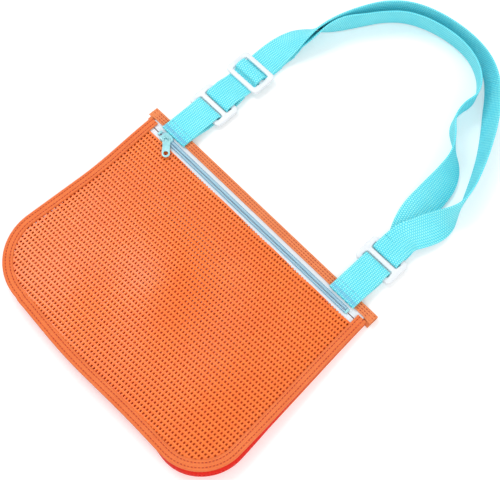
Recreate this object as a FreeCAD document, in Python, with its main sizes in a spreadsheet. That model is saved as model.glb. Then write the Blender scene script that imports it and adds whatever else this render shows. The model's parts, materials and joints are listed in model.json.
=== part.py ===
import FreeCAD, Part
import math
import os

import Sketcher

# Mesh shoulder bag with a zipped mouth and an adjustable webbing strap, lying on its back.
#
# X runs along the bag's top edge, Y from the bag towards the strap, Z up from the surface it lies on.
# The origin is under the middle of the bag with its two end slides, leaving the free strap out.

SHEET = "sizes"

DIMENSIONS = {
    "bag_width": 240.0,        # along the top edge
    "bag_depth": 186.0,        # top edge to bottom edge
    "side_flare": 6.0,         # how much further out each side is at the bottom
    "corner_radius": 38.0,     # bottom corners, seen from above
    "bottom_rise": 12.0,       # how much taller the gusset is at the bottom than at the top
    "top_gap": 2.0,            # inside height of the bag at its top edge
    "mesh_thick": 0.8,
    "binding_width": 9.0,
    "binding_thick": 1.0,
    "gusset_inset": 1.5,       # the gusset stands this far inside the panels' outline
    "hem_width": 8.9,
    "hem_thick": 1.2,
    "hem_overhang": 4.0,       # how far each end of the hem sticks out past the side
    "tape_thick": 0.5,
    "tape_tuck": 3.0,          # width of tape hidden under the hem, and under the mesh
    "tape_show": 2.0,          # width of tape that shows beside the coils
    "coil_width": 2.1,
    "coil_thick": 1.6,
    "coil_gap": 0.8,           # between the two coils, where the slider's web runs
    "coil_length": 208.0,
    "mouth_end": 5.0,          # the mouth reaches this far past each end stop
    "stop_length": 2.0,
    "stop_thick": 2.2,
    "slider_length": 10.0,
    "slider_width": 8.4,
    "slider_plate": 0.8,
    "slider_clear": 0.25,
    "slider_web": 0.3,
    "slider_rest": 97.0,       # slider's centre at rest, left of the middle
    "bridge_half": 1.8,        # inside half length of the slider's bridge
    "bridge_height": 1.8,      # inside height of the bridge
    "bridge_thick": 0.9,
    "bridge_width": 1.4,
    "pull_thick": 1.1,
    "pull_length": 18.0,
    "pull_width": 7.0,
    "pull_eye_width": 5.3,
    "pull_eye_length": 3.3,
    "pull_hole_radius": 1.9,
    "pull_hole_from_end": 3.6,
    "pull_turn": 45.0,         # degrees from the zipper's line to the pull, towards the bag
    "webbing_width": 25.0,
    "webbing_thick": 1.4,
    "webbing_gap": 0.1,        # between two layers of webbing lying on each other
    "tab_centre": 94.5,        # each tab's middle from the bag's middle
    "slide_across": 36.0,
    "slide_slot": 5.7,         # each slot's width between two bars
    "slide_thick": 3.2,
    "slide_bar": 4.2,
    "slide_rail": 5.0,
    "slide_corner": 4.0,
    "slide_round": 1.2,        # rounding along the bars
    "slide_reach": 36.2,       # end slides' centres beyond the top edge
    "slide_height": 4.2,
    "bar_clear": 0.25,
    "adjuster_reach": 78.0,    # adjuster's centre beyond the top edge
    "adjuster_clear": 0.55,    # between the adjuster's bars and the webbing under them
    "strap_standing": 13.3,    # middle of the webbing where it stands on edge
    "lead_length": 13.0,       # flat inner layer between the adjuster's sewn loop and the free strap
}

# Middle line of each layer of the free strap, seen from above, between the adjuster and the right
# slide, with the bag's top edge as Y = 0. Each point is x, y and the webbing's turn about its own
# line in degrees: 0 lies flat and 90 stands on edge.
OUTER_ROUTE = [(-94.5, 118, 0), (-88, 138, 40), (-77, 161, 90), (-66, 187, 90), (-50, 211, 90),
               (-24, 226, 90), (6, 231, 90), (34, 226, 90), (57, 209, 90), (75, 184, 90), (90, 158, 90),
               (102, 131, 90), (107, 106, 75), (105, 84, 35), (98, 66, 0)]
INNER_ROUTE = [(-85.5, 138, 40), (-71.5, 159, 90), (-60, 181, 90), (-45, 202, 90), (-20, 217, 90),
               (8, 222, 90), (32, 217, 90), (47, 203, 90), (50, 183, 90), (54, 164, 90),
               (66, 147, 90), (78, 128, 85), (85, 106, 50), (85, 84, 15), (90, 66, 0)]


class Size:
    """A length together with the sheet formula that it comes from."""

    def __init__(self, value, formula):
        self.value = value
        self.formula = formula

    def __add__(self, other):
        other = as_size(other)
        return Size(self.value + other.value, f"({self.formula} + {other.formula})")

    def __sub__(self, other):
        other = as_size(other)
        return Size(self.value - other.value, f"({self.formula} - {other.formula})")

    def __mul__(self, other):
        other = as_size(other)
        return Size(self.value * other.value, f"({self.formula} * {other.formula})")

    def __truediv__(self, other):
        other = as_size(other)
        return Size(self.value / other.value, f"({self.formula} / {other.formula})")

    def __neg__(self):
        return Size(-self.value, f"(-1 * {self.formula})")


def as_size(number):
    if isinstance(number, Size):
        return number
    return Size(float(number), repr(float(number)))


class Sizes:
    """The driving dimensions, by name."""


doc = FreeCAD.newDocument("mesh_bag")
sheet = doc.addObject("Spreadsheet::Sheet", SHEET)
D = Sizes()
for row, (alias, number) in enumerate(DIMENSIONS.items(), start=1):
    sheet.set(f"A{row}", alias)
    sheet.set(f"B{row}", str(number))
    sheet.setAlias(f"B{row}", alias)
    setattr(D, alias, Size(number, f"{SHEET}.{alias}"))
doc.recompute()

# Heights above the surface, and places in Y from the top edge.
BACK_UNDER = D.binding_thick
BACK_TOP = BACK_UNDER + D.mesh_thick
FRONT_START = BACK_TOP + D.top_gap                 # underside of the zipper tapes at the top edge
SLOPE = D.bottom_rise / D.bag_depth
TILT_FORMULA = f"atan({SLOPE.formula})"
TILT = math.degrees(math.atan(SLOPE.value))
TILT_COS = Size(math.cos(math.radians(TILT)), f"cos({TILT_FORMULA})")
TILT_SIN = Size(math.sin(math.radians(TILT)), f"sin({TILT_FORMULA})")
SEAM_CLEAR = as_size(0.02)                         # keeps touching pieces from sharing volume
HALF_GAP = D.coil_gap / 2
TAPE_OUT = D.coil_width + D.tape_show              # coil's edge to the tape's visible edge
ZIP_LINE = D.hem_width + TAPE_OUT + HALF_GAP       # middle of the coils below the top edge
MOUTH_LINE = ZIP_LINE + HALF_GAP + TAPE_OUT        # top of the mesh front panel
BAR_OFFSET = D.slide_bar + D.slide_slot            # slide's middle to each outer bar's middle
SLIDE_HALF = BAR_OFFSET + D.slide_bar / 2          # half a slide's size along the webbing
SLIDE_END = D.slide_reach + SLIDE_HALF
SHIFT = (D.bag_depth - SLIDE_END) / 2              # moves the top edge's Y = 0 to the row's frame
PIVOT_REACH = D.slide_reach - BAR_OFFSET           # tab-side bars
STRAP_BAR_REACH = D.slide_reach + BAR_OFFSET       # strap-side bars
WRAP = D.slide_bar / 2 + D.bar_clear + D.webbing_thick / 2   # webbing's middle line round a bar
LAYER = D.webbing_thick + D.webbing_gap
# Heights of the three layers that pass under the adjuster's far bar, and of the adjuster itself.
TAIL_LEVEL = D.webbing_thick / 2 + D.bar_clear
LEAD_LEVEL = TAIL_LEVEL + LAYER
TOP_LEVEL = LEAD_LEVEL + LAYER
ADJUSTER_HEIGHT = TOP_LEVEL + D.webbing_thick / 2 + D.adjuster_clear + D.slide_thick / 2

nodes = {}


def keep(item, label):
    item.Label = label
    nodes[label] = item
    return item


def place(item, x=0.0, y=0.0, z=0.0, tilted=False):
    """Put a piece in the row's frame, bound to the sheet, turned with the front face if tilted."""
    base = [as_size(x), as_size(y) + SHIFT, as_size(z)]
    angle = -TILT if tilted else 0.0
    item.Placement = FreeCAD.Placement(
        FreeCAD.Vector(*[part.value for part in base]),
        FreeCAD.Rotation(FreeCAD.Vector(1, 0, 0), angle))
    for axis, part in zip("xyz", base):
        item.setExpression(f"Placement.Base.{axis}", part.formula)
    if tilted:
        item.setExpression("Placement.Rotation.Angle", f"-1 * {TILT_FORMULA}")


def origin_plane(body, role):
    return next(plane for plane in body.Origin.OriginFeatures if plane.Role == role)


def pin_point(sketch, geometry, vertex, point):
    """Hold a sketch vertex at its distances from the origin, each bound to its formula."""
    for kind, length in zip(("DistanceX", "DistanceY"), point):
        ends = (-1, 1, geometry, vertex) if length.value >= 0 else (geometry, vertex, -1, 1)
        index = sketch.addConstraint(Sketcher.Constraint(kind, *ends, abs(length.value)))
        formula = length.formula if length.value >= 0 else f"-1 * {length.formula}"
        sketch.setExpression(f"Constraints[{index}]", formula)


def add_polygon(sketch, corners):
    """A closed outline of straight lines whose corners are bound to the sheet."""
    corners = [(as_size(x), as_size(y)) for x, y in corners]
    spots = [FreeCAD.Vector(x.value, y.value, 0) for x, y in corners]
    first = sketch.GeometryCount
    for start, end in zip(spots, spots[1:] + spots[:1]):
        sketch.addGeometry(Part.LineSegment(start, end), False)
    count = len(corners)
    for number in range(count):
        following = first + (number + 1) % count
        sketch.addConstraint(Sketcher.Constraint("Coincident", first + number, 2, following, 1))
        pin_point(sketch, first + number, 1, corners[number])


def add_circle(sketch, centre, radius):
    spot = FreeCAD.Vector(centre[0].value, centre[1].value, 0)
    index = sketch.addGeometry(Part.Circle(spot, FreeCAD.Vector(0, 0, 1), radius.value), False)
    pin_point(sketch, index, 3, centre)
    bound = sketch.addConstraint(Sketcher.Constraint("Radius", index, radius.value))
    sketch.setExpression(f"Constraints[{bound}]", radius.formula)


def new_sketch(body, name, role="XY_Plane", height=None):
    sketch = body.newObject("Sketcher::SketchObject", name)
    sketch.AttachmentSupport = [(origin_plane(body, role), "")]
    sketch.MapMode = "FlatFace"
    if height is not None:
        sketch.AttachmentOffset = FreeCAD.Placement(
            FreeCAD.Vector(0, 0, height.value), FreeCAD.Rotation())
        sketch.setExpression("AttachmentOffset.Base.z", height.formula)
    return sketch


def pad(body, sketch, length, middle=False):
    """Thicken a sketch, away from its plane or half to each side."""
    feature = body.newObject("PartDesign::Pad", f"{sketch.Name}_pad")
    feature.Profile = sketch
    feature.SideType = "Symmetric" if middle else "One side"
    length = as_size(length)
    feature.Length = length.value
    feature.setExpression("Length", length.formula)
    doc.recompute()
    return feature


def pocket(body, sketch):
    """Cut right through; a cut that takes nothing away is an error."""
    before = body.Shape.Volume
    feature = body.newObject("PartDesign::Pocket", f"{sketch.Name}_pocket")
    feature.Profile = sketch
    feature.Type = "ThroughAll"
    feature.SideType = "Symmetric"
    doc.recompute()
    if body.Shape.Volume >= before - 1e-6:
        raise RuntimeError(f"{feature.Name} cuts nothing")
    return feature


def vertical_edges(shape, wanted):
    """Names of the upright edges whose (x, y) the test accepts."""
    names = []
    for number, edge in enumerate(shape.Edges, start=1):
        start, end = edge.Vertexes[0].Point, edge.Vertexes[-1].Point
        upright = math.hypot(start.x - end.x, start.y - end.y) < 1e-6
        if upright and abs(start.z - end.z) > 1e-6 and wanted(start):
            names.append(f"Edge{number}")
    return names


def fillet(body, base, names, radius):
    """Round the named edges of the body's last feature."""
    feature = body.newObject("PartDesign::Fillet", f"{base.Name}_fillet")
    feature.Base = (base, names)
    feature.Radius = radius.value
    feature.setExpression("Radius", radius.formula)
    doc.recompute()
    return feature


def side_at(line):
    """Half width of the bag at a distance below the top edge."""
    return D.bag_width / 2 + D.side_flare * line / D.bag_depth


def new_body(label):
    return keep(doc.addObject("PartDesign::Body", label), label)


# ---- panels, gusset and bindings -------------------------------------------------------------

def flat_panel(label, top_line, thick, height=None):
    """A mesh panel: flared sides and two rounded bottom corners."""
    body = new_body(label)
    sketch = new_sketch(body, f"{label}_outline", height=height)
    top_half = side_at(top_line)
    low_half = side_at(D.bag_depth)
    add_polygon(sketch, [(-top_half, -top_line), (-low_half, -D.bag_depth),
                         (low_half, -D.bag_depth), (top_half, -top_line)])
    panel = pad(body, sketch, thick)
    low = -D.bag_depth.value + 1e-3
    fillet(body, panel, vertical_edges(panel.Shape, lambda spot: spot.y < low), D.corner_radius)
    return body


def edge_strip(label, top_line, inset, width, thick, height=None):
    """A strip that follows the sides and the bottom, open at the top."""
    body = new_body(label)
    sketch = new_sketch(body, f"{label}_outline", height=height)
    floor = D.bag_depth - inset
    out_top, out_low = side_at(top_line) - inset, side_at(D.bag_depth) - inset
    in_top, in_low = out_top - width, out_low - width
    add_polygon(sketch, [(-out_top, -top_line), (-out_low, -floor), (out_low, -floor),
                         (out_top, -top_line), (in_top, -top_line), (in_low, width - floor),
                         (-in_low, width - floor), (-in_top, -top_line)])
    strip = pad(body, sketch, thick)
    outer = vertical_edges(strip.Shape, lambda spot: abs(spot.y + floor.value) < 1e-3)
    rounded = fillet(body, strip, outer, D.corner_radius - inset)
    inner_line = width.value - floor.value
    inner = vertical_edges(rounded.Shape, lambda spot: abs(spot.y - inner_line) < 1e-3)
    fillet(body, rounded, inner, D.corner_radius - inset - width)
    return body


def side_gusset():
    """The mesh wall between the two panels, low at the top edge and tall at the bottom."""
    tallest = D.top_gap + D.tape_thick + D.bottom_rise * 2
    body = edge_strip("side_gusset", D.hem_width, D.gusset_inset, D.mesh_thick, tallest)
    sketch = new_sketch(body, "gusset_slant", "YZ_Plane")
    # The front panel's underside, seen from the side: it rises by SLOPE towards the bottom.
    start = D.top_gap + D.tape_thick - SEAM_CLEAR
    low_end = D.bag_depth + D.corner_radius
    add_polygon(sketch, [(D.corner_radius, start - SLOPE * D.corner_radius),
                         (D.corner_radius, tallest + 1), (-low_end, tallest + 1),
                         (-low_end, start + SLOPE * low_end)])
    pocket(body, sketch)
    place(body, z=BACK_TOP)


def top_hem():
    """The folded band along the top edge, round the back panel, the zipper tape and both ends."""
    body = new_body("top_hem")
    sketch = new_sketch(body, "hem_section", "YZ_Plane")
    under = FRONT_START + D.tape_thick + SEAM_CLEAR
    under_low = under + SLOPE * D.hem_width
    add_polygon(sketch, [(-D.hem_width, as_size(0)), (D.hem_thick, as_size(0)),
                         (D.hem_thick, under + D.hem_thick), (as_size(0), under + D.hem_thick),
                         (-D.hem_width, under_low + D.hem_thick), (-D.hem_width, under_low),
                         (as_size(0), under), (as_size(0), D.binding_thick),
                         (-D.hem_width, D.binding_thick)])
    pad(body, sketch, D.bag_width + D.hem_overhang * 2, middle=True)
    place(body)


def front_panel():
    """The mesh panel above the wedge, cut away for the zipped mouth."""
    body = flat_panel("front_panel", D.hem_width + D.bar_clear, D.mesh_thick, height=D.tape_thick)
    mouth = new_sketch(body, "mouth_outline", height=D.tape_thick)
    half = D.coil_length / 2 + D.stop_length + D.mouth_end
    add_polygon(mouth, [(-half, as_size(0)), (-half, -MOUTH_LINE), (half, -MOUTH_LINE),
                        (half, as_size(0))])
    pocket(body, mouth)
    place(body, z=FRONT_START, tilted=True)


place(edge_strip("back_binding", D.hem_width, as_size(0), D.binding_width, D.binding_thick))
place(flat_panel("back_panel", as_size(0), D.mesh_thick), z=BACK_UNDER)
side_gusset()
front_panel()
place(edge_strip("front_binding", D.hem_width + D.bar_clear, as_size(0), D.binding_width, D.binding_thick,
                 height=D.tape_thick + D.mesh_thick), z=FRONT_START, tilted=True)
top_hem()


# ---- zipper ----------------------------------------------------------------------------------

def front_block(label, low, high, bottom, thick):
    """A straight strip in the front face, between two corners in X and Y."""
    body = new_body(label)
    sketch = new_sketch(body, f"{label}_outline", height=bottom)
    add_polygon(sketch, [low, (high[0], low[1]), high, (low[0], high[1])])
    pad(body, sketch, thick)
    place(body, z=FRONT_START, tilted=True)
    return body


TAPE_HALF = D.bag_width / 2 - D.gusset_inset - D.mesh_thick - D.bar_clear
TAPE_WIDTH = D.coil_width + D.tape_show + D.tape_tuck
COIL_HALF = D.coil_length / 2
for side, sign in (("upper", 1), ("lower", -1)):
    inner = -ZIP_LINE + HALF_GAP * sign
    front_block(f"zipper_tape_{side}", (-TAPE_HALF, inner), (TAPE_HALF, inner + TAPE_WIDTH * sign),
                as_size(0), D.tape_thick)
    front_block(f"zipper_coil_{side}", (-COIL_HALF, inner), (COIL_HALF, inner + D.coil_width * sign),
                D.tape_thick, D.coil_thick)
STOP_HALF = HALF_GAP + D.coil_width
for side, sign in (("left", -1), ("right", 1)):
    front_block(f"zipper_stop_{side}", (COIL_HALF * sign, -ZIP_LINE - STOP_HALF),
                ((COIL_HALF + D.stop_length) * sign, -ZIP_LINE + STOP_HALF),
                D.tape_thick, D.stop_thick)

PLATE_TOP = D.tape_thick + D.coil_thick + D.slider_clear + D.slider_plate
PULL_LEVEL = PLATE_TOP + D.slider_clear + D.pull_thick / 2    # the pull's hinge line


def zipper_slider():
    """Two plates joined by a thin web between the coils, with a bridge for the pull on top."""
    body = new_body("zipper_slider")
    under = -D.slider_clear - D.slider_plate
    middle, half = -D.slider_rest, D.slider_length / 2
    sketch = new_sketch(body, "slider_outline", height=under)
    add_polygon(sketch, [(middle - half, -ZIP_LINE - D.slider_width / 2),
                         (middle + half, -ZIP_LINE - D.slider_width / 2),
                         (middle + half, -ZIP_LINE + D.slider_width / 2),
                         (middle - half, -ZIP_LINE + D.slider_width / 2)])
    block = pad(body, sketch, PLATE_TOP - under)
    fillet(body, block, vertical_edges(block.Shape, lambda spot: True), D.coil_width)
    # Each channel is cut from the side: tall over the coil, low over the tape.
    for side, sign in (("upper", 1), ("lower", -1)):
        channel = new_sketch(body, f"slider_channel_{side}", "YZ_Plane")
        web = -ZIP_LINE + D.slider_web / 2 * sign
        wall = -ZIP_LINE + (HALF_GAP + D.coil_width + D.slider_clear) * sign
        outside = -ZIP_LINE + D.slider_width * sign
        coil_roof = D.tape_thick + D.coil_thick + D.slider_clear
        tape_roof = D.tape_thick + D.slider_clear
        add_polygon(channel, [(web, -D.slider_clear), (outside, -D.slider_clear), (outside, tape_roof),
                              (wall, tape_roof), (wall, coil_roof), (web, coil_roof)])
        pocket(body, channel)
    bridge = new_sketch(body, "slider_bridge", "XZ_Plane", height=ZIP_LINE)
    inside, top = D.bridge_half, PLATE_TOP + D.bridge_height
    outside = D.bridge_half + D.bridge_thick
    root = PLATE_TOP - D.slider_plate / 2
    add_polygon(bridge, [(middle - outside, root), (middle - outside, top + D.bridge_thick),
                         (middle + outside, top + D.bridge_thick), (middle + outside, root),
                         (middle + inside, root), (middle + inside, top), (middle - inside, top),
                         (middle - inside, root)])
    pad(body, bridge, D.bridge_width, middle=True)
    place(body, z=FRONT_START, tilted=True)


def front_point(x, y, z):
    """A place in the tilted front face, in the frame of the top edge."""
    return x, y * TILT_COS + z * TILT_SIN, FRONT_START + z * TILT_COS - y * TILT_SIN


def zipper_pull():
    """A flat tag whose end bar lies under the slider's bridge, with a round hole at its free end."""
    body = new_body("zipper_pull")
    sketch = new_sketch(body, "pull_outline", height=-D.pull_thick / 2)
    bar = D.pull_thick / 2
    half, tip = D.pull_width / 2, D.pull_length
    add_polygon(sketch, [(-bar, -half), (tip, -half), (tip, half), (-bar, half)])
    eye_half, eye_end = D.pull_eye_width / 2, bar + D.pull_eye_length
    add_polygon(sketch, [(bar, -eye_half), (eye_end, -eye_half), (eye_end, eye_half), (bar, eye_half)])
    add_circle(sketch, (tip - D.pull_hole_from_end, as_size(0)), D.pull_hole_radius)
    plate = pad(body, sketch, D.pull_thick)
    ends = vertical_edges(plate.Shape, lambda spot: spot.x > tip.value - 1e-3)
    fillet(body, plate, ends, D.pull_width / 2 - D.bridge_thick)
    place(body, *front_point(-D.slider_rest, -ZIP_LINE, PULL_LEVEL))
    turned = FreeCAD.Rotation(FreeCAD.Vector(0, 0, 1), -D.pull_turn.value)
    body.Placement.Rotation = FreeCAD.Rotation(FreeCAD.Vector(1, 0, 0), -TILT) * turned


zipper_slider()
zipper_pull()


# ---- slides ----------------------------------------------------------------------------------

def three_bar_slide(label, x, reach, height):
    """A moulded frame with three bars and two slots for the webbing."""
    body = new_body(label)
    sketch = new_sketch(body, f"{label}_outline", height=-D.slide_thick / 2)
    half_x, half_y = D.slide_across / 2, SLIDE_HALF
    add_polygon(sketch, [(-half_x, -half_y), (half_x, -half_y), (half_x, half_y), (-half_x, half_y)])
    slot_half = half_x - D.slide_rail
    near, far = D.slide_bar / 2, half_y - D.slide_bar
    for sign in (1, -1):
        add_polygon(sketch, [(-slot_half, near * sign), (slot_half, near * sign),
                             (slot_half, far * sign), (-slot_half, far * sign)])
    frame = pad(body, sketch, D.slide_thick)
    outside = half_x.value - 1e-3
    corners = vertical_edges(frame.Shape, lambda spot: abs(spot.x) > outside)
    rounded = fillet(body, frame, corners, D.slide_corner)
    bars = [f"Edge{number}" for number, edge in enumerate(rounded.Shape.Edges, start=1)
            if abs(edge.Vertexes[0].Y - edge.Vertexes[-1].Y) < 1e-6
            and abs(edge.Vertexes[0].Z - edge.Vertexes[-1].Z) < 1e-6
            and abs(edge.Vertexes[0].X - edge.Vertexes[-1].X) > D.slide_rail.value]
    fillet(body, rounded, bars, D.slide_round)
    place(body, x, reach, height)


three_bar_slide("left_end_slide", -D.tab_centre, D.slide_reach, D.slide_height)
three_bar_slide("right_end_slide", D.tab_centre, D.slide_reach, D.slide_height)
three_bar_slide("adjuster_slide", -D.tab_centre, D.adjuster_reach, ADJUSTER_HEIGHT)


# ---- webbing ---------------------------------------------------------------------------------

JOIN_LIMIT = 1e-4                                  # a straight run shorter than this is left out


def rounded_line(points, radii):
    """Straight runs joined by tangent arcs: a list of (kind, start, end, centre, radius, turn)."""
    pieces = []
    here = points[0]
    for before, corner, after, radius in zip(points, points[1:], points[2:], radii):
        arrive = (corner - before).normalize()
        leave = (after - corner).normalize()
        turn = arrive.getAngle(leave)
        cut = radius * math.tan(turn / 2)
        start, end = corner - arrive * cut, corner + leave * cut
        side = (leave - arrive).normalize()
        centre = corner + side * (radius / math.cos(turn / 2))
        if (start - here).Length > JOIN_LIMIT:
            pieces.append(("line", here, start, None, 0.0, 0.0))
        pieces.append(("arc", start, end, centre, radius, turn))
        here = end
    pieces.append(("line", here, points[-1], None, 0.0, 0.0))
    return pieces


def offset_edge(piece, shift, normal):
    """One piece of a rounded line moved sideways in its own plane."""
    kind, start, end, centre, radius, turn = piece
    if kind == "line":
        sideways = normal.cross((end - start).normalize()) * shift
        return Part.LineSegment(start + sideways, end + sideways).toShape()
    middle = ((start + end) / 2 - centre).normalize() * radius + centre
    ahead = (end - start).normalize()
    outwards = (middle - centre).normalize()
    factor = (radius + shift * outwards.dot(normal.cross(ahead))) / radius
    moved = [centre + (spot - centre) * factor for spot in (start, middle, end)]
    return Part.Arc(*moved).toShape()


def folded_webbing(label, x, profile, radii):
    """Webbing whose middle line lies in the YZ plane, at its full width in X."""
    normal = FreeCAD.Vector(1, 0, 0)
    points = [FreeCAD.Vector(0, y.value, z.value) for y, z in profile]
    pieces = rounded_line(points, radii)
    half = D.webbing_thick.value / 2
    sides = [[offset_edge(piece, shift, normal) for piece in pieces] for shift in (half, -half)]
    ends = [Part.LineSegment(sides[0][index].Vertexes[index].Point,
                             sides[1][index].Vertexes[index].Point).toShape() for index in (0, -1)]
    outline = Part.Wire(Part.__sortEdges__(sides[0] + sides[1] + ends))
    face = Part.Face(outline)
    face.translate(FreeCAD.Vector(-D.webbing_width.value / 2, 0, 0))
    item = keep(doc.addObject("Part::Feature", label), label)
    item.Shape = face.extrude(normal * D.webbing_width.value)
    place(item, x)
    return item


LOW, HIGH = D.slide_height - WRAP, D.slide_height + WRAP
LEG = as_size(4)                                   # flat stretch beside a bar before a leg slants
BAR_LEG = D.slide_bar + 2                          # straight stretch beyond a bar's middle
WRAP_RADIUS = WRAP.value
BEND = 2.0                                         # small bends of a leg


def strap_tab(side, sign):
    """A doubled tab of webbing sewn on the hem, looped round the slide's near bar."""
    hem_top = FRONT_START + D.tape_thick + SEAM_CLEAR + D.hem_thick
    inner_end = -D.hem_width + D.bar_clear
    rise = SLOPE * D.hem_width
    edge = D.hem_thick + D.slide_thick / 3
    first = hem_top + D.webbing_thick / 2 + D.webbing_gap
    profile = [(inner_end, first + rise), (edge, first), (PIVOT_REACH - LEG, LOW),
               (PIVOT_REACH + WRAP, LOW), (PIVOT_REACH + WRAP, HIGH), (PIVOT_REACH - LEG, HIGH),
               (edge, first + LAYER), (inner_end, first + LAYER + rise)]
    folded_webbing(f"strap_tab_{side}", D.tab_centre * sign, profile,
                   [BEND, BEND, WRAP_RADIUS, WRAP_RADIUS, BEND, BEND])


strap_tab("left", -1)
strap_tab("right", 1)

HUMP = WRAP + LAYER                                # outer layer's middle line over the sewn loop
A_REACH, A_LEVEL = D.adjuster_reach, ADJUSTER_HEIGHT
KNEE = HUMP + LEG                                  # where a leg over the adjuster bends flat

# The far end of the webbing, sewn round the left slide's far bar.
folded_webbing("strap_end_loop", -D.tab_centre,
               [(STRAP_BAR_REACH + LEG * 3.5, LOW + LAYER * 1.4), (STRAP_BAR_REACH + LEG, LOW),
                (STRAP_BAR_REACH - WRAP, LOW), (STRAP_BAR_REACH - WRAP, HIGH),
                (STRAP_BAR_REACH + BAR_LEG, HIGH)],
               [BEND, WRAP_RADIUS, WRAP_RADIUS])
# From there under the adjuster's near bar, over its middle bar and under its far bar.
folded_webbing("strap_over_adjuster", -D.tab_centre,
               [(STRAP_BAR_REACH + BAR_LEG, HIGH), (STRAP_BAR_REACH + BAR_LEG + 1.5, HIGH),
                (A_REACH - KNEE - LEG, TOP_LEVEL), (A_REACH - KNEE, TOP_LEVEL),
                (A_REACH - HUMP, A_LEVEL + 0.8), (A_REACH - HUMP, A_LEVEL + HUMP),
                (A_REACH + HUMP, A_LEVEL + HUMP), (A_REACH + HUMP, A_LEVEL + 0.8),
                (A_REACH + KNEE, TOP_LEVEL), (A_REACH + 20, TOP_LEVEL)],
               [BEND, BEND, 1.2, 1.2, 3.0, 3.0, 1.2, 1.2])
# The webbing's other end, sewn round the adjuster's middle bar.
folded_webbing("adjuster_loop", -D.tab_centre,
               [(A_REACH + 27, LEAD_LEVEL), (A_REACH + 7.5, LEAD_LEVEL), (A_REACH + WRAP, A_LEVEL - 0.6),
                (A_REACH + WRAP, A_LEVEL + WRAP), (A_REACH - WRAP, A_LEVEL + WRAP),
                (A_REACH - WRAP, A_LEVEL - WRAP), (A_REACH + 1, A_LEVEL - WRAP),
                (A_REACH + 5.2, TAIL_LEVEL), (A_REACH + 25, TAIL_LEVEL)],
               [1.2, 0.9, WRAP_RADIUS, WRAP_RADIUS, 2.8, 1.0, 1.2])
LEAD_START = A_REACH + 27
LEAD_END = LEAD_START + D.lead_length
folded_webbing("strap_lead", -D.tab_centre,
               [(LEAD_START, LEAD_LEVEL), (LEAD_START + BEND, LEAD_LEVEL), (LEAD_END - BEND, TAIL_LEVEL),
                (LEAD_END, TAIL_LEVEL)], [BEND, BEND])
folded_webbing("strap_turn", D.tab_centre,
               [(STRAP_BAR_REACH + BAR_LEG, HIGH), (STRAP_BAR_REACH - WRAP, HIGH),
                (STRAP_BAR_REACH - WRAP, LOW), (STRAP_BAR_REACH + BAR_LEG, LOW)],
               [WRAP_RADIUS, WRAP_RADIUS])

ARC_SHARE = 0.45
ARC_STEPS = 4
TURN_STEP = 4.0                                    # most twist between two sections, in degrees


def turn_at(turns, share):
    """The webbing's turn at a place between two route points."""
    low = min(int(share), len(turns) - 2)
    return turns[low] + (turns[low + 1] - turns[low]) * (share - low)


def split_twists(stations, turns):
    """Add stations where the webbing twists fast."""
    split = [stations[0]]
    for (spot, ahead, share), (next_spot, next_ahead, next_share) in zip(stations, stations[1:]):
        swing = abs(turn_at(turns, next_share) - turn_at(turns, share))
        steps = max(1, math.ceil(swing / TURN_STEP))
        for step in range(1, steps + 1):
            part = step / steps
            split.append((spot + (next_spot - spot) * part, ahead + (next_ahead - ahead) * part,
                          share + (next_share - share) * part))
    return split


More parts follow.
